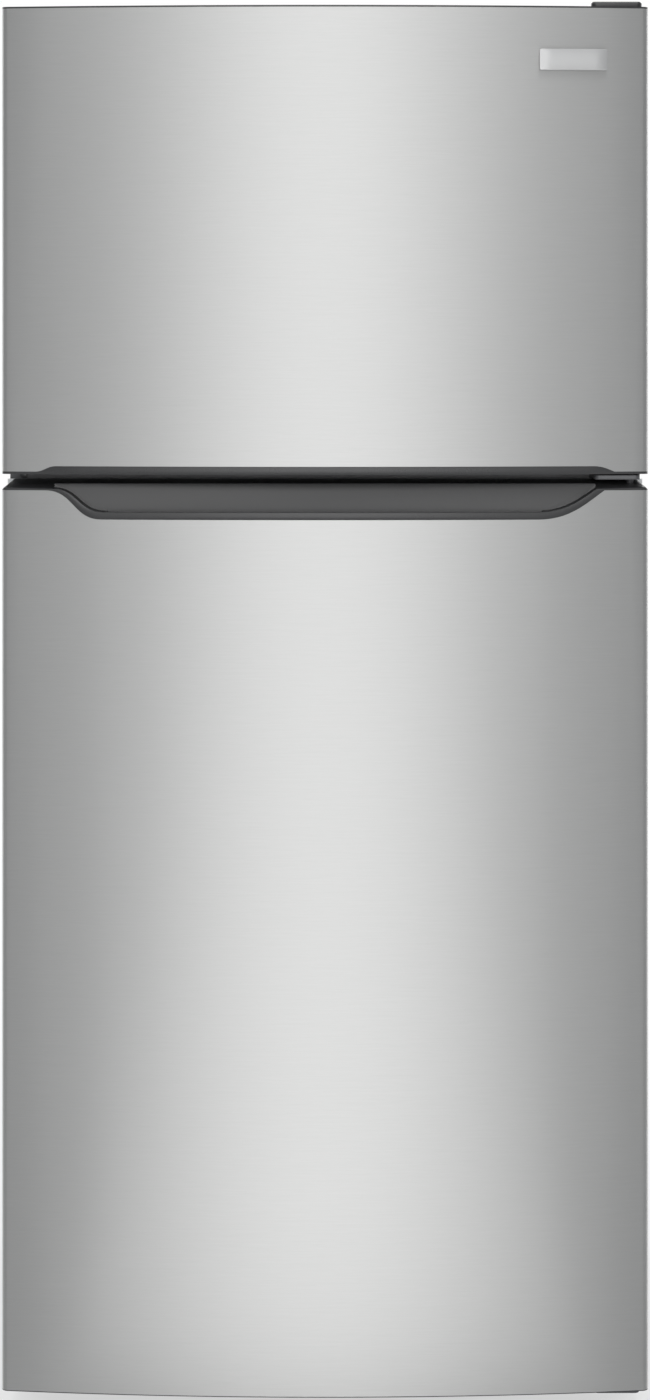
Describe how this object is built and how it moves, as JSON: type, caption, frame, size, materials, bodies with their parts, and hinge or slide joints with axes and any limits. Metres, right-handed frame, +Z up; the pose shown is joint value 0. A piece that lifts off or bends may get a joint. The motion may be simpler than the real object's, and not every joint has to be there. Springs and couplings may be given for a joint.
{
  "type": "top freezer refrigerator",
  "caption": "Free-standing refrigerator with a freezer above, two bowed stainless doors hung on the right and scooped dark handles along the seam.",
  "frame": {"origin": "on the floor, under the middle of the outer box", "axes": "+Z up, doors face -Y, +X to the right seen from the front"},
  "size_m": [0.762, 0.77, 1.6785],
  "materials": {
    "case_paint": "satin charcoal paint",
    "galvanised": "galvanised steel",
    "stainless": "horizontally brushed stainless steel",
    "dark_plastic": "fine-grained charcoal plastic",
    "white_liner": "white vacuum-formed plastic",
    "seal_grey": "grey magnetic door seal",
    "clear_bin": "clear moulded plastic",
    "shelf_glass": "toughened glass",
    "lens": "frosted lens",
    "foam": "polyurethane foam",
    "badge": "satin silver plate",
    "white_wire": "white coated wire",
    "black_steel": "black enamel",
    "aluminium_fins": "bare aluminium",
    "copper": "copper tube",
    "black_plastic": "black plastic",
    "rubber": "rubber mounts",
    "roller_plastic": "hard plastic",
    "leg_steel": "zinc-plated steel"
  },
  "bodies": {
    "cabinet": {"outer_case": "case_paint", "back_panel": "galvanised", "base_pan": "galvanised", "foam_insulation": "foam", "freezer_liner": "white_liner", "fresh_food_liner": "white_liner", "mullion_rail": "case_paint", "top_hinge": "case_paint", "middle_hinge": "case_paint", "bottom_hinge": "case_paint", "hinge_cover": "dark_plastic", "hinge_screws": "galvanised", "hinge_hole_plugs": "dark_plastic", "toe_grille": "dark_plastic", "evaporator_cover": "white_liner", "evaporator": "aluminium_fins", "fan_motor": "black_plastic", "control_housing": "white_liner", "light_lens": "lens", "freezer_shelf": "white_wire", "shelf_frames": "white_liner", "shelf_glass": "shelf_glass", "compressor_base": "galvanised", "compressor": "black_steel", "compressor_mounts": "rubber", "start_relay_cover": "black_plastic", "condenser": "black_steel", "refrigerant_lines": "copper", "drain_pan": "black_plastic", "roller_brackets": "galvanised"},
    "freezer_door": {"freezer_door_skin": "stainless", "freezer_door_foam": "foam", "freezer_door_liner": "white_liner", "freezer_door_top_cap": "dark_plastic", "freezer_door_handle_cap": "dark_plastic", "freezer_door_gasket": "seal_grey", "freezer_door_racks": "clear_bin", "badge_plate": "badge"},
    "fridge_door": {"fridge_door_skin": "stainless", "fridge_door_foam": "foam", "fridge_door_liner": "white_liner", "fridge_door_handle_cap": "dark_plastic", "fridge_door_bottom_cap": "dark_plastic", "fridge_door_gasket": "seal_grey", "upper_door_bin": "clear_bin", "lower_door_bin": "clear_bin", "dairy_compartment": "clear_bin"},
    "dairy_lid_body": {"dairy_lid": "clear_bin"},
    "crisper_left_body": {"crisper_left": "clear_bin"},
    "crisper_right_body": {"crisper_right": "clear_bin"},
    "evaporator_fan_body": {"evaporator_fan": "black_plastic"},
    "temperature_dial_body": {"temperature_dial": "white_liner"},
    "freezer_dial_body": {"freezer_dial": "white_liner"},
    "light_switch_body": {"light_switch": "white_liner"},
    "rear_roller_left_body": {"rear_roller_left": "roller_plastic"},
    "rear_roller_right_body": {"rear_roller_right": "roller_plastic"},
    "levelling_leg_left_body": {"levelling_leg_left": "leg_steel"},
    "levelling_leg_right_body": {"levelling_leg_right": "leg_steel"},
    "humidity_slide_left_body": {"humidity_slide_left": "white_liner"},
    "humidity_slide_right_body": {"humidity_slide_right": "white_liner"}
  },
  "joints": [
    {"name": "freezer_door_swing", "type": "hinge", "parent": "cabinet", "child": "freezer_door", "pos_m": [0.362, -0.334, 1.1205], "axis": [0, 0, 1], "range_deg": [0, 130]},
    {"name": "fridge_door_swing", "type": "hinge", "parent": "cabinet", "child": "fridge_door", "pos_m": [0.362, -0.334, 0.04], "axis": [0, 0, 1], "range_deg": [0, 130]},
    {"name": "dairy_lid_flip", "type": "hinge", "parent": "fridge_door", "child": "dairy_lid_body", "pos_m": [-0.274, -0.3, 0.922], "axis": [1, 0, 0], "range_deg": [0, 60]},
    {"name": "crisper_left_slide", "type": "slide", "parent": "cabinet", "child": "crisper_left_body", "axis": [0, -1, 0], "range_m": [0, 0.15]},
    {"name": "crisper_right_slide", "type": "slide", "parent": "cabinet", "child": "crisper_right_body", "axis": [0, -1, 0], "range_m": [0, 0.15]},
    {"name": "light_switch_travel", "type": "slide", "parent": "cabinet", "child": "light_switch_body", "axis": [0, -1, 0], "range_m": [0, 0.006]},
    {"name": "temperature_dial_turn", "type": "hinge", "parent": "cabinet", "child": "temperature_dial_body", "pos_m": [0, -0.237, 1.04825], "axis": [0, -1, 0], "range_deg": [0, 240]},
    {"name": "freezer_dial_turn", "type": "hinge", "parent": "cabinet", "child": "freezer_dial_body", "pos_m": [0, 0.225, 1.34425], "axis": [0, -1, 0], "range_deg": [0, 240]},
    {"name": "humidity_left_slide", "type": "slide", "parent": "cabinet", "child": "humidity_slide_left_body", "axis": [1, 0, 0], "range_m": [0, 0.049]},
    {"name": "humidity_right_slide", "type": "slide", "parent": "cabinet", "child": "humidity_slide_right_body", "axis": [1, 0, 0], "range_m": [0, 0.049]},
    {"name": "evaporator_fan_spin", "type": "hinge", "parent": "cabinet", "child": "evaporator_fan_body", "pos_m": [0, 0.236, 1.45425], "axis": [0, 1, 0], "continuous": true},
    {"name": "rear_roller_left_spin", "type": "hinge", "parent": "cabinet", "child": "rear_roller_left_body", "pos_m": [-0.3445, 0.305, 0.017], "axis": [1, 0, 0], "continuous": true},
    {"name": "rear_roller_right_spin", "type": "hinge", "parent": "cabinet", "child": "rear_roller_right_body", "pos_m": [0.3445, 0.305, 0.017], "axis": [1, 0, 0], "continuous": true},
    {"name": "levelling_leg_left_turn", "type": "hinge", "parent": "cabinet", "child": "levelling_leg_left_body", "pos_m": [-0.3305, -0.215, 0], "axis": [0, 0, 1], "continuous": true},
    {"name": "levelling_leg_right_turn", "type": "hinge", "parent": "cabinet", "child": "levelling_leg_right_body", "pos_m": [0.3305, -0.215, 0], "axis": [0, 0, 1], "continuous": true}
  ],
  "couplings": [
    {"joint": "crisper_left_slide", "follows": "fridge_door_swing", "m_per_rad": 0.066111},
    {"joint": "crisper_right_slide", "follows": "fridge_door_swing", "m_per_rad": 0.066111},
    {"joint": "light_switch_travel", "follows": "fridge_door_swing", "m_per_rad": 0.0026444}
  ]
}
